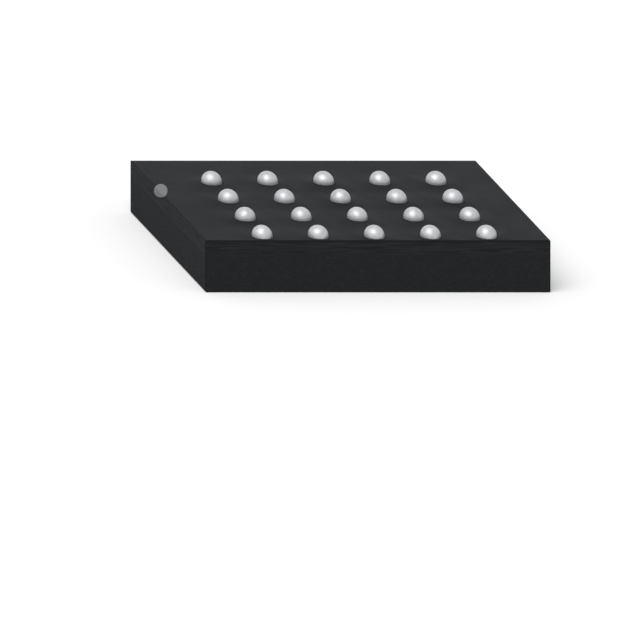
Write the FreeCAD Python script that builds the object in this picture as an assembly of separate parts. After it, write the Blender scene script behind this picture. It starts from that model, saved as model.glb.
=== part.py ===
"""A small wire-bonded ball grid array chip, lying on its moulded face with its solder balls up.

Millimetres. X runs along the long side, Y to the back and Z up through the layers. The origin is
the centre of the moulded face that the chip lies on. Seen from the balls, the columns are lettered
from the left and the rows are numbered from the back, so the index corner is at the left and back.
"""

import FreeCAD
import Part

import math
import os

from FreeCAD import Vector

# Ball grid, centred on the body: the row nearest the back is left off
PITCH = 1.0
COLUMNS = 5
GRID_ROWS = 5
ROWS_LEFT_OFF = 1

# Body: its margins beyond the grid, and its layers from the face that it lies on upwards
END_MARGIN = 1.075
SIDE_MARGIN = 0.225
MOULD_THICKNESS = 0.67
MASK_THICKNESS = 0.03
CORE_THICKNESS = 0.20
COPPER_THICKNESS = 0.018
EDGE_BREAK = 0.02

# Solder balls and the copper under them
BALL_DIAMETER = 0.36
BALL_STANDOFF = 0.20
MASK_OVER_LAND = 0.03
VIA_DIAMETER = 0.12
VIA_PLATING = 0.018
VIA_PAD_DIAMETER = 0.24

# Die, its adhesive and its bond pads
DIE_TO_FINGER = 0.40
DIE_THICKNESS = 0.25
ADHESIVE_THICKNESS = 0.03
ADHESIVE_FILLET = 0.03
PAD_SIDE = 0.09
PAD_THICKNESS = 0.01
PAD_INSET = 0.07
PAD_SPACING = 0.2

# Bond fingers and the traces that reach them
FINGER_LENGTH = 0.30
FINGER_WIDTH = 0.11
FINGER_SPACING = 0.36
END_FINGER_SPACING = 0.8
TRACE_WIDTH = 0.05
WINDOW_WIDTH = 0.24
WINDOW_END_MARGIN = 0.08

# Bond wires
WIRE_DIAMETER = 0.03
LOOP_HEIGHT = 0.12
LOOP_FLAT_SHARE = 0.35
WIRE_BEND_RADIUS = 0.05
BALL_BOND_DIAMETER = 0.075
BALL_BOND_HEIGHT = 0.02
STITCH_DIAMETER = 0.05
STITCH_HEIGHT = 0.01

# Flats that a small round inside the body is made of, at the same area
SMALL_SIDES = 8

# Marks: a dab of ink over the left top edge, laid on by a round tip that came slanting down from
# the front left, and a moulded dimple in the face that the chip lies on
INK_DIAMETER = 0.24
INK_THICKNESS = 0.015
INK_FROM_BACK = 1.80
INK_ABOVE_EDGE = 0.036
INK_STROKE = (0.30, 1.0, -0.32)
DIMPLE_DIAMETER = 0.50
DIMPLE_DEPTH = 0.04
DIMPLE_FROM_SIDES = 0.60

# Body outline, from the grid and its margins
BODY_LENGTH = (COLUMNS - 1) * PITCH + 2 * END_MARGIN
BODY_WIDTH = (GRID_ROWS - 1) * PITCH + 2 * SIDE_MARGIN

# Heights of the layers' faces
MOULD_FACE = MOULD_THICKNESS
CORE_BOTTOM = MOULD_FACE + MASK_THICKNESS
FINGER_FACE = CORE_BOTTOM - COPPER_THICKNESS
CORE_TOP = CORE_BOTTOM + CORE_THICKNESS
LAND_FACE = CORE_TOP + COPPER_THICKNESS
BODY_TOP = CORE_TOP + MASK_THICKNESS
DIE_BACK = MOULD_FACE - ADHESIVE_THICKNESS
DIE_FACE = DIE_BACK - DIE_THICKNESS
PAD_FACE = DIE_FACE - PAD_THICKNESS

# Radii that follow from the ball: its neck fills the opening in the mask
BALL_RADIUS = BALL_DIAMETER / 2
BALL_CENTRE_HEIGHT = BALL_STANDOFF - BALL_RADIUS
OPENING_RADIUS = math.sqrt(BALL_RADIUS**2 - BALL_CENTRE_HEIGHT**2)
LAND_RADIUS = OPENING_RADIUS + MASK_OVER_LAND
VIA_RADIUS = VIA_DIAMETER / 2

# Corner radius of those flats, as a share of the round's radius
FLATS_REACH = math.sqrt(2 * math.pi / (SMALL_SIDES * math.sin(2 * math.pi / SMALL_SIDES)))

# The fingers stand on lines halfway between the outermost column or row and the next, and the die
# fills the field within them
FINGER_LINE_X = ((COLUMNS - 1) / 2 - 0.5) * PITCH
FINGER_LINE_Y = ((GRID_ROWS - 1) / 2 - 0.5) * PITCH
DIE_LENGTH = 2 * (FINGER_LINE_X - DIE_TO_FINGER)
DIE_WIDTH = 2 * (FINGER_LINE_Y - DIE_TO_FINGER)

# Length by which a swept wire runs past the face that trims it
OVERSHOOT = 0.1


def slab(length, width, low, high):
    """A plate centred on the Z axis, between two heights."""
    return Part.makeBox(length, width, high - low, Vector(-length / 2, -width / 2, low))


def disc(x, y, radius, low, high):
    return Part.makeCylinder(radius, high - low, Vector(x, y, low))


def ring_of_flats(x, y, radius, height):
    """A closed level polygon with the area of the round that it stands for."""
    reach = radius * FLATS_REACH
    corners = []
    for number in range(SMALL_SIDES + 1):
        angle = 2 * math.pi * (number + 0.5) / SMALL_SIDES
        corners.append(Vector(x + reach * math.cos(angle), y + reach * math.sin(angle), height))
    return Part.makePolygon(corners)


def small_disc(x, y, radius, low, high):
    return Part.Face(ring_of_flats(x, y, radius, low)).extrude(Vector(0, 0, high - low))


def bar(start, end, width, low, high):
    """A flat bar of rectangular section from one point of a layer to another."""
    along = Vector(end[0] - start[0], end[1] - start[1], 0)
    piece = Part.makeBox(along.Length, width, high - low, Vector(0, -width / 2, low))
    piece.rotate(Vector(0, 0, 0), Vector(0, 0, 1), math.degrees(math.atan2(along.y, along.x)))
    piece.translate(Vector(start[0], start[1], 0))
    return piece


def ball_places():
    """The fitted places of the grid, as a dictionary of name to (column, row, x, y)."""
    places = {}
    for column in range(COLUMNS):
        for row in range(ROWS_LEFT_OFF, GRID_ROWS):
            x = (column - (COLUMNS - 1) / 2) * PITCH
            y = ((GRID_ROWS - 1) / 2 - row) * PITCH
            places[f"{chr(ord('a') + column)}{row + 1}"] = (column, row, x, y)
    return places


def nets_by_side(places):
    """Shares the balls among the die's four sides: each half of the grid goes to its own side.

    The middle column goes to the back and the front. Each list runs from the back to the front, or
    from the left to the right, so that no trace crosses another.
    """
    middle = (COLUMNS - 1) / 2
    middle_row = (ROWS_LEFT_OFF + GRID_ROWS - 1) / 2
    sides = {"left": [], "right": [], "back": [], "front": []}
    for name, (column, row, x, y) in places.items():
        if column < middle:
            sides["left"].append((row, column, name))
        elif column > middle:
            sides["right"].append((row, -column, name))
        elif row < middle_row:
            sides["back"].append((row, 0, name))
        else:
            sides["front"].append((row, 0, name))
    return {side: [name for _, _, name in sorted(nets)] for side, nets in sides.items()}


def bond_places(places):
    """Where each net's wire starts on the die and ends on its finger.

    Returns a dictionary of name to (die pad, finger centre, finger's outward direction).
    """
    bonds = {}
    for side, nets in nets_by_side(places).items():
        upright = side in ("left", "right")
        outward = -1 if side in ("left", "front") else 1
        spacing = FINGER_SPACING if upright else END_FINGER_SPACING
        for number, name in enumerate(nets):
            step = number - (len(nets) - 1) / 2
            if upright:
                pad = (outward * (DIE_LENGTH / 2 - PAD_INSET), -step * PAD_SPACING)
                finger = (outward * FINGER_LINE_X, -step * spacing)
                direction = (outward, 0)
            else:
                pad = (step * PAD_SPACING, outward * (DIE_WIDTH / 2 - PAD_INSET))
                finger = (step * spacing, outward * FINGER_LINE_Y)
                direction = (0, outward)
            bonds[name] = (pad, finger, direction)
    return bonds


def copper_net(place, bond):
    """One net of the die-side copper: the pad round its via, a trace and its bond finger.

    The trace runs on into the finger's nearer end, by half the finger's width.
    """
    _, _, x, y = place
    _, (finger_x, finger_y), (out_x, out_y) = bond
    half = FINGER_LENGTH / 2
    inner = (finger_x - out_x * half, finger_y - out_y * half)
    outer = (finger_x + out_x * half, finger_y + out_y * half)
    beyond = (x - finger_x) * out_x + (y - finger_y) * out_y > 0
    reach = (half - FINGER_WIDTH / 2) * (1 if beyond else -1)
    trace_end = (finger_x + out_x * reach, finger_y + out_y * reach)
    low, high = FINGER_FACE, CORE_BOTTOM
    via_pad = small_disc(x, y, VIA_PAD_DIAMETER / 2, low, high)
    trace = bar((x, y), trace_end, TRACE_WIDTH, low, high)
    finger = bar(inner, outer, FINGER_WIDTH, low, high)
    return via_pad.fuse([trace, finger]).removeSplitter()


def finger_windows(bonds):
    """The openings in the die-side mask, one along each row of fingers, which the mould fills."""
    rows = {}
    for _, finger, direction in bonds.values():
        rows.setdefault(direction, []).append(Vector(*finger, 0))
    windows = []
    for (out_x, out_y), fingers in rows.items():
        along = Vector(-out_y, out_x, 0)
        past_end = along * (FINGER_WIDTH / 2 + WINDOW_END_MARGIN)
        fingers.sort(key=along.dot)
        start = fingers[0] - past_end
        end = fingers[-1] + past_end
        windows.append(bar(start, end, WINDOW_WIDTH, MOULD_FACE, CORE_BOTTOM))
    return windows


def rounded_path(points, radius):
    """Straight runs through the points, with a tangent arc in place of each corner."""
    edges = []
    start = points[0]
    for before, corner, after in zip(points, points[1:], points[2:]):
        into = (corner - before).normalize()
        out = (after - corner).normalize()
        reach = radius * math.tan(into.getAngle(out) / 2)
        inward = (out - into * into.dot(out)).normalize()
        bend_start = corner - into * reach
        bend_end = corner + out * reach
        centre = bend_start + inward * radius
        bend_middle = centre + (corner - centre).normalize() * radius
        edges.append(Part.LineSegment(start, bend_start).toShape())
        edges.append(Part.Arc(bend_start, bend_middle, bend_end).toShape())
        start = bend_end
    edges.append(Part.LineSegment(start, points[-1]).toShape())
    return Part.Wire(edges)


def bond_wire(bond):
    """One wire: a ball bond on the die, a neck, a flat run, a sloping run and its stitch."""
    (pad_x, pad_y), (finger_x, finger_y), _ = bond
    pad = Vector(pad_x, pad_y, PAD_FACE)
    stitch = Vector(finger_x, finger_y, FINGER_FACE)
    across = Vector(finger_x - pad_x, finger_y - pad_y, 0)
    knee = pad - Vector(0, 0, LOOP_HEIGHT)
    shoulder = knee + across * LOOP_FLAT_SHARE
    beyond = stitch + (stitch - shoulder).normalize() * OVERSHOOT
    path = rounded_path([pad, knee, shoulder, beyond], WIRE_BEND_RADIUS)
    section = ring_of_flats(pad_x, pad_y, WIRE_DIAMETER / 2, PAD_FACE)
    wire = path.makePipeShell([section], True, False)
    wire = wire.cut(slab(BODY_LENGTH, BODY_WIDTH, FINGER_FACE, BODY_TOP))
    ball_top = PAD_FACE - BALL_BOND_HEIGHT
    ball_bond = small_disc(pad_x, pad_y, BALL_BOND_DIAMETER / 2, ball_top, PAD_FACE)
    foot_top = FINGER_FACE - STITCH_HEIGHT
    foot = small_disc(finger_x, finger_y, STITCH_DIAMETER / 2, foot_top, FINGER_FACE)
    return wire.fuse([ball_bond, foot]).removeSplitter().Solids[0]


def solder_ball(x, y):
    """A reflowed ball: its neck fills the opening in the mask, down to the land."""
    centre = Vector(x, y, BODY_TOP + BALL_CENTRE_HEIGHT)
    rim = Vector(x + OPENING_RADIUS, y, BODY_TOP)
    neck = Vector(x + OPENING_RADIUS, y, LAND_FACE)
    root = Vector(x, y, LAND_FACE)
    tip = centre + Vector(0, 0, BALL_RADIUS)
    slope = (math.atan2(rim.z - centre.z, OPENING_RADIUS) + math.pi / 2) / 2
    middle = centre + Vector(math.cos(slope), 0, math.sin(slope)) * BALL_RADIUS
    outline = Part.Wire(
        [
            Part.LineSegment(root, neck).toShape(),
            Part.LineSegment(neck, rim).toShape(),
            Part.Arc(rim, middle, tip).toShape(),
            Part.LineSegment(tip, root).toShape(),
        ]
    )
    return Part.Face(outline).revolve(root, Vector(0, 0, 1), 360).Solids[0]


def rectangle(margin, height):
    """The die's outline grown by a margin, as a closed run of corners at one height."""
    x = DIE_LENGTH / 2 + margin
    y = DIE_WIDTH / 2 + margin
    corners = [(-x, -y), (x, -y), (x, y), (-x, y), (-x, -y)]
    return [Vector(cx, cy, height) for cx, cy in corners]


def die_adhesive():
    """The film under the die, squeezed out a little past its edges in a sloping fillet."""
    wide = Part.makePolygon(rectangle(ADHESIVE_FILLET, MOULD_FACE))
    narrow = Part.makePolygon(rectangle(0, DIE_BACK))
    return Part.makeLoft([narrow, wide], True, True)


def mould_cap(windows, inner_pieces):
    """The moulded block: it fills the finger windows and closes round everything on the die side."""
    block = slab(BODY_LENGTH, BODY_WIDTH, 0, MOULD_FACE)
    resting_edges = [edge for edge in block.Edges if edge.BoundBox.ZMax < EDGE_BREAK / 2]
    block = block.makeChamfer(EDGE_BREAK, resting_edges)
    dimple_x = DIMPLE_FROM_SIDES - BODY_LENGTH / 2
    dimple_y = BODY_WIDTH / 2 - DIMPLE_FROM_SIDES
    dimple = disc(dimple_x, dimple_y, DIMPLE_DIAMETER / 2, 0, DIMPLE_DEPTH)
    block = block.cut(dimple)
    return block.fuse(windows).cut(inner_pieces).removeSplitter()


def laminate_core(places):
    core = slab(BODY_LENGTH, BODY_WIDTH, CORE_BOTTOM, CORE_TOP)
    holes = []
    for _, _, x, y in places.values():
        holes.append(small_disc(x, y, VIA_RADIUS, CORE_BOTTOM, CORE_TOP))
    return core.cut(holes)


def via_plug(x, y):
    return small_disc(x, y, VIA_RADIUS - VIA_PLATING, CORE_BOTTOM, CORE_TOP)


def via_barrel(x, y):
    return small_disc(x, y, VIA_RADIUS, CORE_BOTTOM, CORE_TOP).cut(via_plug(x, y))


def ball_land(x, y):
    return small_disc(x, y, LAND_RADIUS, CORE_TOP, LAND_FACE)


def ball_side_mask(places):
    """The mask over the balls' side, with a stepped opening at each land."""
    mask = slab(BODY_LENGTH, BODY_WIDTH, CORE_TOP, BODY_TOP)
    steps = []
    for _, _, x, y in places.values():
        steps.append(ball_land(x, y))
        steps.append(disc(x, y, OPENING_RADIUS, CORE_TOP, BODY_TOP))
    return mask.cut(steps)


def ink_dab():
    """A film of marking ink over the left edge, with the outline that a slanting round throws there.

    It lies on the top and on the side, and a quarter round joins its two parts over the edge.
    """
    back = Vector(-BODY_LENGTH / 2, BODY_WIDTH / 2, BODY_TOP)
    left_edge = Part.makeLine(back, back - Vector(0, BODY_WIDTH, 0))
    centre = back + Vector(0, -INK_FROM_BACK, INK_ABOVE_EDGE)
    stroke = Vector(*INK_STROKE)
    tip = Part.makeCircle(INK_DIAMETER / 2, centre - stroke, Vector(0, 1, 0))
    sweep = Part.Face(Part.Wire(tip)).extrude(stroke * 2)
    films = []
    for face in slab(BODY_LENGTH, BODY_WIDTH, 0, BODY_TOP).Faces:
        spot = sweep.common(face)
        if spot.common(left_edge).Edges:
            films.append(spot.extrude(face.normalAt(0, 0) * INK_THICKNESS))
    covered = sweep.common(left_edge).BoundBox
    start = Vector(back.x, covered.YMin, BODY_TOP)
    round_edge = Part.makeCylinder(INK_THICKNESS, covered.YLength, start, Vector(0, 1, 0))
    beyond_edge = start - Vector(INK_THICKNESS, 0, 0)
    corner = Part.makeBox(INK_THICKNESS, covered.YLength, INK_THICKNESS, beyond_edge)
    return films[0].fuse(films[1:] + [round_edge.common(corner)]).removeSplitter().Solids[0]


def build():
    """Every node as a dictionary of name to shape."""
    places = ball_places()
    bonds = bond_places(places)
    xy = [(x, y) for _, _, x, y in places.values()]
    windows = finger_windows(bonds)
    copper = [copper_net(places[name], bonds[name]) for name in places]
    wires = {name: bond_wire(bonds[name]) for name in places}
    die = slab(DIE_LENGTH, DIE_WIDTH, DIE_FACE, DIE_BACK)
    adhesive = die_adhesive()
    pads = []
    for (pad_x, pad_y), _, _ in bonds.values():
        ends = ((pad_x - PAD_SIDE / 2, pad_y), (pad_x + PAD_SIDE / 2, pad_y))
        pads.append(bar(*ends, PAD_SIDE, PAD_FACE, DIE_FACE))
    die_mask = slab(BODY_LENGTH, BODY_WIDTH, MOULD_FACE, CORE_BOTTOM).cut(copper + windows)
    inner_pieces = [die, adhesive] + pads + copper + list(wires.values())

    nodes = {
        "mould_cap": mould_cap(windows, inner_pieces),
        "die": die,
        "die_adhesive": adhesive,
        "die_bond_pads": Part.makeCompound(pads),
        "die_side_copper": Part.makeCompound(copper),
        "die_side_mask": die_mask,
        "laminate_core": laminate_core(places),
        "via_barrels": Part.makeCompound([via_barrel(x, y) for x, y in xy]),
        "via_plugs": Part.makeCompound([via_plug(x, y) for x, y in xy]),
        "ball_lands": Part.makeCompound([ball_land(x, y) for x, y in xy]),
        "ball_side_mask": ball_side_mask(places),
        "index_ink_dab": ink_dab(),
    }
    for name, (_, _, x, y) in places.items():
        nodes[f"bond_wire_{name}"] = wires[name]
        nodes[f"solder_ball_{name}"] = solder_ball(x, y)
    return nodes


os.makedirs("parts", exist_ok=True)
for node, shape in build().items():
    shape.exportStep(f"parts/{node}.step")
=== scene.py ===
"""The looks of a small ball grid array chip that lies on its moulded face with its balls up.

Metres, in the part's own frame: X along the long side, Y to the back, Z up to the balls. Sizes below
are in millimetres until they are multiplied by MM. Noise scales are waves to a millimetre.
"""

import math

import bmesh
import bpy
from mathutils import Matrix, Vector, noise


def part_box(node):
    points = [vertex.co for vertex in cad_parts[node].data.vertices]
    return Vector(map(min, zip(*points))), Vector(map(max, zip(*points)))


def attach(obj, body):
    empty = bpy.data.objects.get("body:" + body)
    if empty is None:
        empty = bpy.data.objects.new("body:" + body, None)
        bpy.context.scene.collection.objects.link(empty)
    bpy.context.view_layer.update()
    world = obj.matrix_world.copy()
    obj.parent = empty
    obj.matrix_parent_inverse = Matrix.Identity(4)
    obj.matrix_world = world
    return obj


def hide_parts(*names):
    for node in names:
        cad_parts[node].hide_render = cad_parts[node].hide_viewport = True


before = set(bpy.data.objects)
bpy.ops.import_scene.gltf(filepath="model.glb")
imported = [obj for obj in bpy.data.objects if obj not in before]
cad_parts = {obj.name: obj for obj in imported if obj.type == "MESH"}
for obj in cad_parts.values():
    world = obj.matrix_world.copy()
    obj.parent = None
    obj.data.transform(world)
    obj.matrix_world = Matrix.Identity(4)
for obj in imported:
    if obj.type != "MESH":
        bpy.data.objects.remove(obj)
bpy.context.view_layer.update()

MM = 0.001

# The oblique drawing: its scale, the middle of the pixel at the body's front top left corner, and
# the step from the front edge to the back edge
IMAGE_PX = 640
PX_PER_MM = 56.1
FRONT_CORNER_PX = (205.5, 240.5)
DEPTH_STEP_PX = (-75, -80)
CAMERA_DISTANCE = 60 * MM
CAMERA_NEAR = 0.5 * MM
CAMERA_FAR = 1.0

# Light, as the share of full white that a level white surface returns
WORLD_SHARE = 0.52
SUN_SHARE = 0.48
SUN_TOWARDS = (-0.19, -0.20, 0.45)
SUN_ANGLE = math.radians(50)

# Floor: its size, its greys for sight and for the light that it bounces, and its glow for sight
FLOOR_RADIUS = 400 * MM
FLOOR_SEGMENTS = 96
FLOOR_FOR_CAMERA = 0.88
FLOOR_FOR_BOUNCE = 0.5
FLOOR_GLOW = 0.16

# Colours of the pieces that show
MASK_COLOUR = (0.0253, 0.0263, 0.0285)
MOULD_COLOUR = (0.0292, 0.0306, 0.0336)
LAMINATE_COLOUR = (0.0262, 0.0274, 0.0300)
DARK_SOLDER = (0.47, 0.484, 0.498)
PALE_SOLDER = (0.564, 0.578, 0.592)
INK_COLOUR = (0.182, 0.187, 0.194)

# Specular levels: the body is dull black, and the ink has a little sheen
BODY_SPECULAR = 0.01
INK_SPECULAR = 0.12

# Depths of the fine relief in each surface
MASK_PITS = 0.0012 * MM
MASK_WEAVE = 0.0015 * MM
MOULD_SPECKS = 0.002 * MM
MOULD_SAW_LINES = 0.003 * MM
LAMINATE_STREAKS = 0.003 * MM
SOLDER_GRAINS = 0.0006 * MM
SOLDER_FROST = 0.0008 * MM
INK_MOTTLE = 0.002 * MM
INNER_MOTTLE = 0.0005 * MM

# How much longer or shorter a pattern is along each axis, for streaks that run level
SAW_LINE_STRETCH = (0.6, 0.6, 34)
STREAK_STRETCH = (2.4, 2.4, 52)
GRAIN_STRETCH = (36, 36, 80)

# Painted shade: a dark line along the body's edges, its width in millimetres, and the share of its
# colour that it loses
EDGE_SHADE_WIDTH = 0.018
EDGE_SHADE_DARKNESS = 0.65

# Balls: their unevenness, and the size of its swells and the height it takes to set in, in radii
BALL_SEGMENTS = 64
BALL_RINGS = 28
BALL_UNEVENNESS = 0.0012 * MM
BALL_SWELL = 1.6
BALL_SWELL_RISE = 0.5

# Mask: the collar and lip round each opening, with the collar's slope as shares of its width and
# height, the clearance round the ball's neck, and the round on the body's top edges
COLLAR_HEIGHT = 0.008 * MM
COLLAR_FLAT = 0.022 * MM
COLLAR_SLOPE = 0.014 * MM
COLLAR_CURVE = ((1, 0), (0.7, 0.25), (0.3, 0.8), (0, 1))
LIP_ROUND = 0.003 * MM
LIP_MIDDLE = 0.3
NECK_CLEARANCE = 0.0005 * MM
EDGE_ROUND = 0.006 * MM
CELL_STEPS = 16
PLACE_STEP = 0.01 * MM
RIM_REACH = 0.0005 * MM
MASK_WELD = 0.0002 * MM

# Ink dab: a round, seen along the stroke that laid it over the left top edge
DAB_RADIUS = 0.12 * MM
DAB_ABOVE_EDGE = 0.036 * MM
DAB_STROKE = (0.30, 1.0, -0.32)
DAB_ROWS = 36
DAB_COLUMNS = 56
DAB_THICKNESS = 0.014 * MM
DAB_TURN = 0.012 * MM
DAB_UNEVENNESS = 0.2
DAB_SWELL = 0.07 * MM
DAB_RIM_POWER = 6
DAB_WELD = 0.00005 * MM

# Corners of the body without its balls and its dab, and of the mask on the balls' side
BODY_LOW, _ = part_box("mould_cap")
MASK_LOW, MASK_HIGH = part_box("ball_side_mask")
BODY_HIGH = MASK_HIGH

BALL_NODES = sorted(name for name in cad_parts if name.startswith("solder_ball_"))
WIRE_NODES = sorted(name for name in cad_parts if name.startswith("bond_wire_"))


# Camera: an orthographic one whose line of sight is sheared, as in the drawing


def set_camera():
    data = bpy.data.cameras.new("oblique_camera")
    data.type = "ORTHO"
    data.ortho_scale = IMAGE_PX / PX_PER_MM * MM
    data.clip_start = CAMERA_NEAR
    data.clip_end = CAMERA_FAR
    camera = bpy.data.objects.new("oblique_camera", data)
    holder = bpy.data.objects.new("camera_holder", None)
    for made in (camera, holder):
        bpy.context.scene.collection.objects.link(made)
    depth = BODY_HIGH.y - BODY_LOW.y
    px = MM / PX_PER_MM
    sight = Vector((-DEPTH_STEP_PX[0] * px / depth, 1, DEPTH_STEP_PX[1] * px / depth))
    right = (IMAGE_PX / 2 - FRONT_CORNER_PX[0]) * px
    down = (IMAGE_PX / 2 - FRONT_CORNER_PX[1]) * px
    aim = Vector((BODY_LOW.x + right, BODY_LOW.y, BODY_HIGH.z - down))
    sight.normalize()
    place = aim - sight * CAMERA_DISTANCE
    columns = (Vector((1, 0, 0)), Vector((0, 0, 1)), -sight, place)
    sheared = Matrix.Identity(4)
    for number, column in enumerate(columns):
        sheared.col[number][:3] = column
    camera.parent = holder
    camera.matrix_parent_inverse = sheared
    bpy.context.scene.camera = camera


# Node trees


def start_material(name, roughness, metallic=0.0, specular=0.5):
    """A material with its constants on the shader, and its coordinates in metres."""
    material = bpy.data.materials.new(name)
    material.use_nodes = True
    tree = material.node_tree
    shader = tree.nodes["Principled BSDF"]
    shader.inputs["Roughness"].default_value = roughness
    shader.inputs["Metallic"].default_value = metallic
    shader.inputs["Specular IOR Level"].default_value = specular
    coordinates = tree.nodes.new("ShaderNodeTexCoord")
    return material, tree, shader, coordinates.outputs["Object"]


def in_millimetres(tree, coordinates, stretch=(1, 1, 1)):
    mapping = tree.nodes.new("ShaderNodeMapping")
    mapping.inputs["Scale"].default_value = [share / MM for share in stretch]
    tree.links.new(coordinates, mapping.inputs["Vector"])
    return mapping.outputs["Vector"]


def noise_value(tree, vector, scale=1.0, detail=3.0):
    texture = tree.nodes.new("ShaderNodeTexNoise")
    texture.inputs["Scale"].default_value = scale
    texture.inputs["Detail"].default_value = detail
    tree.links.new(vector, texture.inputs["Vector"])
    return texture.outputs["Fac"]


def cell_pattern(tree, vector, scale):
    """A pattern of cells, with a colour for each and the distance from its middle."""
    cells = tree.nodes.new("ShaderNodeTexVoronoi")
    cells.inputs["Scale"].default_value = scale
    tree.links.new(vector, cells.inputs["Vector"])
    return cells.outputs["Color"], cells.outputs["Distance"]


def ramp(tree, value, low, high, start=0.35, end=0.65):
    """A colour between two, by a value between start and end."""
    colours = tree.nodes.new("ShaderNodeValToRGB")
    first, last = colours.color_ramp.elements
    first.position, last.position = start, end
    first.color = (*low, 1)
    last.color = (*high, 1)
    tree.links.new(value, colours.inputs["Fac"])
    return colours.outputs["Color"]


def math_node(tree, operation, first, second):
    made = tree.nodes.new("ShaderNodeMath")
    made.operation = operation
    for socket, value in zip(made.inputs, (first, second)):
        if isinstance(value, (int, float)):
            socket.default_value = value
        else:
            tree.links.new(value, socket)
    return made.outputs["Value"]


def add_bump(tree, shader, height, distance, under=None):
    """Relief as deep as the distance, on top of another if that is given."""
    bump = tree.nodes.new("ShaderNodeBump")
    bump.inputs["Distance"].default_value = distance
    tree.links.new(height, bump.inputs["Height"])
    if under:
        tree.links.new(under, bump.inputs["Normal"])
    tree.links.new(bump.outputs["Normal"], shader.inputs["Normal"])
    return bump.outputs["Normal"]


def shade(colour, share):
    return tuple(channel * share for channel in colour)


def set_colour(tree, shader, value, colour, spread, start=0.35, end=0.65):
    """Base colour that varies by a share to each side of a mean."""
    mixed = ramp(tree, value, shade(colour, 1 - spread), shade(colour, 1 + spread), start, end)
    tree.links.new(mixed, shader.inputs["Base Color"])


def near_edge(tree, vector):
    """1 at the body's twelve edges, falling to 0 within the width of the edge line."""
    parts = tree.nodes.new("ShaderNodeSeparateXYZ")
    tree.links.new(vector, parts.inputs["Vector"])
    near = []
    for axis, low, high in zip("XYZ", BODY_LOW, BODY_HIGH):
        middle = (low + high) / 2 / MM
        half = (high - low) / 2 / MM
        off = math_node(tree, "SUBTRACT", parts.outputs[axis], middle)
        out = math_node(tree, "SUBTRACT", math_node(tree, "ABSOLUTE", off, 0), half - EDGE_SHADE_WIDTH)
        share = math_node(tree, "MULTIPLY", out, 1 / EDGE_SHADE_WIDTH)
        near.append(math_node(tree, "MAXIMUM", math_node(tree, "MINIMUM", share, 1), 0))
    pairs = [math_node(tree, "MULTIPLY", near[a], near[b]) for a, b in ((0, 1), (1, 2), (0, 2))]
    return math_node(tree, "MAXIMUM", math_node(tree, "MAXIMUM", pairs[0], pairs[1]), pairs[2])


def paint_edge_shade(tree, shader, vector):
    """Darkens the base colour along the body's edges: a painted shade line."""
    base = shader.inputs["Base Color"].links[0].from_socket
    shaded = tree.nodes.new("ShaderNodeMix")
    shaded.data_type = "RGBA"
    shaded.blend_type = "MULTIPLY"
    dark = 1 - EDGE_SHADE_DARKNESS
    colours = [socket for socket in shaded.inputs if socket.type == "RGBA"]
    tree.links.new(near_edge(tree, vector), shaded.inputs["Factor"])
    tree.links.new(base, colours[0])
    colours[1].default_value = (dark, dark, dark, 1)
    result = [socket for socket in shaded.outputs if socket.type == "RGBA"][0]
    tree.links.new(result, shader.inputs["Base Color"])


# Materials


def mask_material():
    """Dull solder mask: the glass weave below shows through as faint waves, with fine pits."""
    material, tree, shader, coordinates = start_material("satin_mask", 0.5, specular=BODY_SPECULAR)
    vector = in_millimetres(tree, coordinates)
    cloudy = noise_value(tree, vector, scale=1.3)
    set_colour(tree, shader, cloudy, MASK_COLOUR, spread=0.10)
    # Painted shade: a dark line along the body's edges
    paint_edge_shade(tree, shader, vector)
    fine = noise_value(tree, vector, scale=42, detail=4.0)
    pitted = add_bump(tree, shader, fine, MASK_PITS)
    waves = []
    for direction in ("X", "Y"):
        wave = tree.nodes.new("ShaderNodeTexWave")
        wave.bands_direction = direction
        wave.inputs["Scale"].default_value = 0.75
        wave.inputs["Distortion"].default_value = 0.6
        wave.inputs["Detail"].default_value = 1.0
        tree.links.new(vector, wave.inputs["Vector"])
        waves.append(wave.outputs["Fac"])
    weave = math_node(tree, "MULTIPLY", *waves)
    add_bump(tree, shader, weave, MASK_WEAVE, under=pitted)
    return material


def mould_material():
    """Matte moulding compound: pale specks of filler, and saw lines along the cut sides."""
    material, tree, shader, coordinates = start_material("matte_mould", 0.62, specular=BODY_SPECULAR)
    vector = in_millimetres(tree, coordinates)
    _, from_middle = cell_pattern(tree, vector, scale=38)
    cloudy = noise_value(tree, vector, scale=9, detail=5.0)
    specks = math_node(tree, "SUBTRACT", cloudy, from_middle)
    set_colour(tree, shader, specks, MOULD_COLOUR, spread=0.20, start=-0.2, end=0.5)
    # Painted shade: a dark line along the body's edges
    paint_edge_shade(tree, shader, vector)
    speckled = add_bump(tree, shader, specks, MOULD_SPECKS)
    lines = noise_value(tree, in_millimetres(tree, coordinates, SAW_LINE_STRETCH), detail=4.0)
    add_bump(tree, shader, lines, MOULD_SAW_LINES, under=speckled)
    return material


def laminate_material():
    """Sawn black laminate: cut glass bundles lie in it as long thin streaks with a fine grain."""
    material, tree, shader, coordinates = start_material("sawn_laminate", 0.58, specular=BODY_SPECULAR)
    streaks = noise_value(tree, in_millimetres(tree, coordinates, STREAK_STRETCH), detail=3.0)
    grain = noise_value(tree, in_millimetres(tree, coordinates, GRAIN_STRETCH), detail=2.0)
    bundles = math_node(tree, "MULTIPLY", streaks, math_node(tree, "ADD", grain, 0.5))
    set_colour(tree, shader, bundles, LAMINATE_COLOUR, spread=0.24, start=0.38, end=0.62)
    # Painted shade: a dark line along the body's edges
    paint_edge_shade(tree, shader, in_millimetres(tree, coordinates))
    add_bump(tree, shader, bundles, LAMINATE_STREAKS)
    return material


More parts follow.
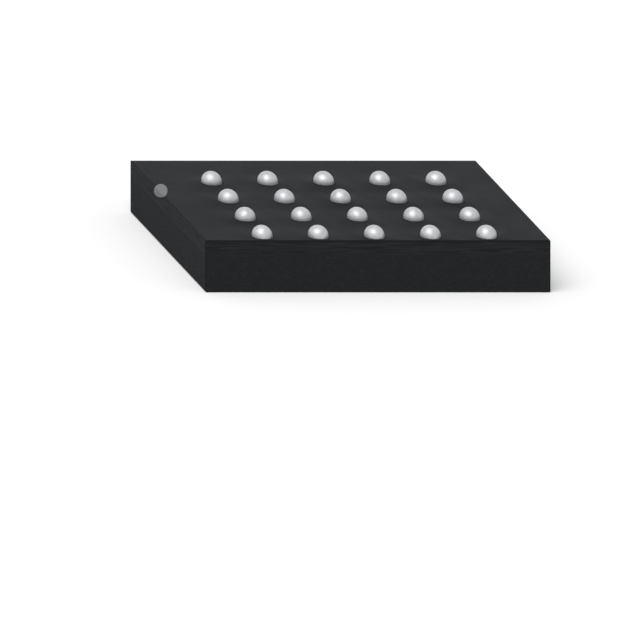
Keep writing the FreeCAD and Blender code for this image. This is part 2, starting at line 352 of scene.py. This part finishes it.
def solder_material():
    """Reflowed solder: satin, with faint grains that froze at different angles."""
    material, tree, shader, coordinates = start_material("satin_solder", 0.45, metallic=0.6)
    vector = in_millimetres(tree, coordinates)
    grains, from_middle = cell_pattern(tree, vector, scale=16)
    mixed = ramp(tree, grains, DARK_SOLDER, PALE_SOLDER, start=0.1, end=0.9)
    tree.links.new(mixed, shader.inputs["Base Color"])
    fine = noise_value(tree, vector, scale=60)
    rough = ramp(tree, fine, (0.40,) * 3, (0.54,) * 3, start=0.3, end=0.7)
    tree.links.new(rough, shader.inputs["Roughness"])
    grained = add_bump(tree, shader, from_middle, SOLDER_GRAINS)
    add_bump(tree, shader, fine, SOLDER_FROST, under=grained)
    return material


def ink_material():
    """Matte ink, with pigment that lies unevenly."""
    material, tree, shader, coordinates = start_material("grey_ink", 0.55, specular=INK_SPECULAR)
    vector = in_millimetres(tree, coordinates)
    mottled = noise_value(tree, vector, scale=22, detail=4.0)
    set_colour(tree, shader, mottled, INK_COLOUR, spread=0.08)
    add_bump(tree, shader, mottled, INK_MOTTLE)
    return material


def inner_material(name, colour, roughness, metallic, scale):
    """A plain mottled finish for a piece that is sealed inside the body."""
    material, tree, shader, coordinates = start_material(name, roughness, metallic=metallic)
    value = noise_value(tree, in_millimetres(tree, coordinates), scale)
    set_colour(tree, shader, value, colour, spread=0.08)
    add_bump(tree, shader, value, INNER_MOTTLE)
    return material


def dress(node, material):
    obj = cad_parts[node]
    obj.data.materials.clear()
    obj.data.materials.append(material)


def dress_carried_nodes():
    dress("mould_cap", mould_material())
    dress("laminate_core", laminate_material())
    dress("die", inner_material("polished_silicon", (0.10, 0.11, 0.14), 0.2, 0.6, 3))
    dress("die_adhesive", inner_material("filled_adhesive", (0.45, 0.45, 0.43), 0.5, 0.3, 30))
    dress("die_bond_pads", inner_material("pad_metal", (0.75, 0.75, 0.76), 0.3, 1.0, 40))
    gold = inner_material("gold_wire", (0.83, 0.62, 0.22), 0.25, 1.0, 40)
    copper = inner_material("plated_copper", (0.72, 0.36, 0.20), 0.35, 1.0, 25)
    for node in WIRE_NODES:
        dress(node, gold)
    for node in ("die_side_copper", "via_barrels", "ball_lands"):
        dress(node, copper)
    dress("via_plugs", inner_material("plug_resin", (0.10, 0.10, 0.09), 0.6, 0.0, 30))


# Mesh helpers


def add_piece(name, made, material, node):
    """Finishes a bmesh as a smooth-shaded piece that stands for a node."""
    mesh = bpy.data.meshes.new(name)
    made.to_mesh(mesh)
    made.free()
    for polygon in mesh.polygons:
        polygon.use_smooth = True
    mesh.materials.append(material)
    piece = bpy.data.objects.new(name, mesh)
    bpy.context.scene.collection.objects.link(piece)
    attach(piece, "root")
    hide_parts(node)


def circle(made, centre, radius, height, segments):
    ring = []
    for number in range(segments):
        angle = 2 * math.pi * number / segments
        x = centre.x + radius * math.cos(angle)
        y = centre.y + radius * math.sin(angle)
        ring.append(made.verts.new((x, y, height)))
    return ring


def bridge(made, lower, upper):
    """Quads between two closed rings of as many points."""
    for number, point in enumerate(lower):
        after = (number + 1) % len(lower)
        made.faces.new((point, lower[after], upper[after], upper[number]))


# Solder balls


def ball_sizes(node):
    """Centre of the ball's sphere, its radius and the height of its foot."""
    low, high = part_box(node)
    radius = (high.x - low.x) / 2
    centre = Vector(((low.x + high.x) / 2, (low.y + high.y) / 2, high.z - radius))
    return centre, radius, low.z


def ball_piece(node, material):
    """A reflowed ball: flat foot, neck in the mask's opening, and a slightly uneven sphere."""
    centre, radius, foot = ball_sizes(node)
    made = bmesh.new()
    waist = math.asin((BODY_HIGH.z - centre.z) / radius)
    neck = radius * math.cos(waist)
    rings = [circle(made, centre, neck, foot, BALL_SEGMENTS)]
    for number in range(BALL_RINGS):
        angle = waist + (math.pi / 2 - waist) * number / BALL_RINGS
        height = centre.z + radius * math.sin(angle)
        rings.append(circle(made, centre, radius * math.cos(angle), height, BALL_SEGMENTS))
    for lower, upper in zip(rings, rings[1:]):
        bridge(made, lower, upper)
    tip = made.verts.new(centre + Vector((0, 0, radius)))
    last = rings[-1]
    for number, point in enumerate(last):
        made.faces.new((point, last[(number + 1) % BALL_SEGMENTS], tip))
    made.faces.new(reversed(rings[0]))
    for point in made.verts:
        above = point.co.z - BODY_HIGH.z
        if above > 0:
            away = (point.co - centre).normalized()
            risen = min(1, above / (radius * BALL_SWELL_RISE))
            swell = noise.noise(point.co / (radius * BALL_SWELL)) * risen
            point.co -= away * BALL_UNEVENNESS * (1 + swell)
    add_piece("reflowed_" + node, made, material, node)


# Solder mask on the balls' side, laid out in cells with one ball in each


def cell_boundary(made, west, east, south, north, height):
    """Points round a rectangle, from its east side's middle, turning left like a circle does."""
    half = CELL_STEPS // 2
    corners = [(east, north), (west, north), (west, south), (east, south)]
    middle_y = (south + north) / 2
    path = [(east, middle_y)] + corners + [(east, middle_y)]
    counts = [half, CELL_STEPS, CELL_STEPS, CELL_STEPS, half]
    ring = []
    for (x0, y0), (x1, y1), count in zip(path, path[1:], counts):
        for number in range(count):
            share = number / count
            ring.append(made.verts.new((x0 + (x1 - x0) * share, y0 + (y1 - y0) * share, height)))
    return ring


def opening_profile(opening, land):
    """Radii and heights round one opening, from the top face over the collar to the underside."""
    top, bottom = MASK_HIGH.z, MASK_LOW.z
    collar = top + COLLAR_HEIGHT
    inner = opening + NECK_CLEARANCE
    flat = inner + LIP_ROUND + COLLAR_FLAT
    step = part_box("ball_lands")[1].z
    slope = [(flat + COLLAR_SLOPE * out, top + COLLAR_HEIGHT * up) for out, up in COLLAR_CURVE]
    return slope + [
        (inner + LIP_ROUND, collar),
        (inner + LIP_ROUND * LIP_MIDDLE, collar - LIP_ROUND * LIP_MIDDLE),
        (inner, collar - LIP_ROUND),
        (inner, step),
        (land, step),
        (land, bottom),
    ]


def ball_cell(made, cell, centre, opening, land):
    """One rectangle of the mask with the collar and the opening round a ball."""
    segments = CELL_STEPS * 4
    rings = [cell_boundary(made, *cell, MASK_HIGH.z)]
    for radius, height in opening_profile(opening, land):
        rings.append(circle(made, centre, radius, height, segments))
    rings.append(cell_boundary(made, *cell, MASK_LOW.z))
    for outer, inner in zip(rings, rings[1:]):
        bridge(made, outer, inner)


def plain_cell(made, cell):
    """One rectangle of the mask with no ball, top and underside."""
    west, east, south, north = cell
    for height, turned in ((MASK_HIGH.z, False), (MASK_LOW.z, True)):
        rows = []
        for j in range(CELL_STEPS + 1):
            y = south + (north - south) * j / CELL_STEPS
            row = []
            for i in range(CELL_STEPS + 1):
                x = west + (east - west) * i / CELL_STEPS
                row.append(made.verts.new((x, y, height)))
            rows.append(row)
        for lower, upper in zip(rows, rows[1:]):
            for i in range(CELL_STEPS):
                corners = [lower[i], lower[i + 1], upper[i + 1], upper[i]]
                made.faces.new(reversed(corners) if turned else corners)


def cell_lines(places, low, high):
    """Lines halfway between the balls, with one half a pitch outside them and the body's edges."""
    unique = sorted({round(place / PLACE_STEP) for place in places})
    places = [number * PLACE_STEP for number in unique]
    pitch = places[1] - places[0]
    lines = [(a + b) / 2 for a, b in zip(places, places[1:])]
    lines = [places[0] - pitch / 2] + lines + [places[-1] + pitch / 2]
    inside = [line for line in lines if low < line < high]
    return [low] + inside + [high]


def on_rim(vertex):
    x, y, _ = vertex.co
    on_x = min(abs(x - MASK_LOW.x), abs(x - MASK_HIGH.x)) < RIM_REACH
    on_y = min(abs(y - MASK_LOW.y), abs(y - MASK_HIGH.y)) < RIM_REACH
    return on_x or on_y


def on_top(edge):
    return all(vertex.co.z > MASK_LOW.z + LIP_ROUND for vertex in edge.verts)


def mask_piece(material):
    """The ball side's mask: raised a little over the edge of each land, with rounded rims."""
    balls = [ball_sizes(node) for node in BALL_NODES]
    centre, radius, _ = balls[0]
    opening = math.sqrt(radius**2 - (MASK_HIGH.z - centre.z) ** 2)
    land = opening + NECK_CLEARANCE + LIP_ROUND + COLLAR_FLAT + COLLAR_SLOPE
    columns = cell_lines([place.x for place, _, _ in balls], MASK_LOW.x, MASK_HIGH.x)
    rows = cell_lines([place.y for place, _, _ in balls], MASK_LOW.y, MASK_HIGH.y)
    made = bmesh.new()
    for west, east in zip(columns, columns[1:]):
        for south, north in zip(rows, rows[1:]):
            cell = (west, east, south, north)
            inside = [
                place for place, _, _ in balls if west < place.x < east and south < place.y < north
            ]
            if inside:
                ball_cell(made, cell, inside[0], opening, land)
            else:
                plain_cell(made, cell)
    bmesh.ops.remove_doubles(made, verts=made.verts, dist=MASK_WELD)
    rim = [edge for edge in made.edges if edge.is_boundary]
    top_rim = [edge for edge in rim if on_top(edge)]
    bottom_rim = [edge for edge in rim if edge not in top_rim]
    bmesh.ops.bridge_loops(made, edges=top_rim + bottom_rim)
    sharp = [edge for edge in made.edges if all(on_rim(v) for v in edge.verts) and on_top(edge)]
    bmesh.ops.bevel(made, geom=sharp, offset=EDGE_ROUND, segments=2, affect="EDGES", profile=0.5)
    bmesh.ops.recalc_face_normals(made, faces=made.faces)
    add_piece("ball_side_mask_skin", made, material, "ball_side_mask")


# Index dab


def dab_row(made, across, centre_y):
    """One row of the dab along Y, over the body and then back under it, at a distance from the edge.

    The distance is positive on the top and negative on the side. The dab is round as seen along
    its stroke, so each row ends where a line along the stroke leaves that round.
    """
    stroke_x, _, stroke_z = DAB_STROKE
    flat = Vector((max(across, 0), min(across, 0) - DAB_ABOVE_EDGE))
    slope = Vector((stroke_x, stroke_z))
    lean = flat.dot(slope) / slope.length_squared
    half = math.sqrt(max(0, (DAB_RADIUS**2 - flat.length_squared) / slope.length_squared + lean**2))
    turn = max(0, min(1, (across + DAB_TURN) / (2 * DAB_TURN))) * math.pi / 2
    outward = Vector((-math.cos(turn), 0, math.sin(turn)))
    foot = Vector((BODY_LOW.x + max(across, 0), centre_y + lean, BODY_HIGH.z + min(across, 0)))
    over, under = [], []
    for number in range(DAB_COLUMNS + 1):
        along = -half * math.cos(math.pi * number / DAB_COLUMNS)
        spot = foot + Vector((0, along, 0))
        share = (flat - slope * (lean + along)).length / DAB_RADIUS
        swell = 1 - DAB_UNEVENNESS * (0.5 + noise.noise(spot / DAB_SWELL))
        height = DAB_THICKNESS * swell * math.sqrt(max(0, 1 - share**DAB_RIM_POWER))
        over.append(made.verts.new(spot + outward * height))
        under.append(made.verts.new(spot))
    return over + under[::-1]


def dab_piece(material):
    """The index dab: a film over the edge, thin at its rim and a little uneven."""
    _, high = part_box("index_ink_dab")
    stroke_x, _, stroke_z = DAB_STROKE
    spread = DAB_RADIUS * math.hypot(stroke_x, stroke_z)
    top_reach = (spread + DAB_ABOVE_EDGE * stroke_x) / -stroke_z
    side_reach = spread / stroke_x - DAB_ABOVE_EDGE
    centre_y = high.y + (DAB_RADIUS + DAB_ABOVE_EDGE) / stroke_z
    made = bmesh.new()
    rows = []
    for number in range(-DAB_ROWS, DAB_ROWS + 1):
        share = math.sin(math.pi / 2 * number / DAB_ROWS)
        across = share * (top_reach if share > 0 else side_reach)
        rows.append(dab_row(made, across, centre_y))
    for lower, upper in zip(rows, rows[1:]):
        bridge(made, lower, upper)
    bmesh.ops.remove_doubles(made, verts=made.verts, dist=DAB_WELD)
    bmesh.ops.recalc_face_normals(made, faces=made.faces)
    add_piece("index_dab_film", made, material, "index_ink_dab")


# Floor, world and lamp


def pale_for_sight(tree):
    """1 for a camera, glossy or transmission ray, and 0 for the rest."""
    path = tree.nodes.new("ShaderNodeLightPath")
    seen = math_node(tree, "MAXIMUM", path.outputs["Is Camera Ray"], path.outputs["Is Glossy Ray"])
    return math_node(tree, "MAXIMUM", seen, path.outputs["Is Transmission Ray"])


def add_floor():
    made = bmesh.new()
    bmesh.ops.create_circle(made, cap_ends=True, radius=FLOOR_RADIUS, segments=FLOOR_SEGMENTS)
    mesh = bpy.data.meshes.new("floor")
    made.to_mesh(mesh)
    made.free()
    floor = bpy.data.objects.new("floor", mesh)
    bpy.context.scene.collection.objects.link(floor)
    material, tree, shader, _ = start_material("pale_floor", 0.9, specular=0.0)
    seen = pale_for_sight(tree)
    mixed = ramp(tree, seen, (FLOOR_FOR_BOUNCE,) * 3, (FLOOR_FOR_CAMERA,) * 3, start=0, end=1)
    tree.links.new(mixed, shader.inputs["Base Color"])
    shader.inputs["Emission Color"].default_value = (1, 1, 1, 1)
    tree.links.new(math_node(tree, "MULTIPLY", seen, FLOOR_GLOW), shader.inputs["Emission Strength"])
    mesh.materials.append(material)


def set_world():
    """White for sight, and the world's share of the light for the rest."""
    world = bpy.data.worlds.new("studio")
    world.use_nodes = True
    tree = world.node_tree
    background = tree.nodes["Background"]
    background.inputs["Color"].default_value = (1, 1, 1, 1)
    seen = pale_for_sight(tree)
    strength = math_node(tree, "MULTIPLY", seen, 1 - WORLD_SHARE)
    strength = math_node(tree, "ADD", strength, WORLD_SHARE)
    tree.links.new(strength, background.inputs["Strength"])
    world.cycles.sampling_method = "NONE"
    bpy.context.scene.world = world


def add_sun():
    data = bpy.data.lights.new("soft_sun", "SUN")
    towards = Vector(SUN_TOWARDS).normalized()
    data.energy = SUN_SHARE * math.pi / towards.z
    data.angle = SUN_ANGLE
    sun = bpy.data.objects.new("soft_sun", data)
    sun.rotation_mode = "QUATERNION"
    sun.rotation_quaternion = towards.to_track_quat("Z", "Y")
    bpy.context.scene.collection.objects.link(sun)


set_camera()
set_world()
add_sun()
add_floor()
dress_carried_nodes()
dull_mask = mask_material()
dress("die_side_mask", dull_mask)
mask_piece(dull_mask)
dab_piece(ink_material())
satin_solder = solder_material()
for ball_node in BALL_NODES:
    ball_piece(ball_node, satin_solder)
bpy.context.scene.view_settings.view_transform = "Standard"
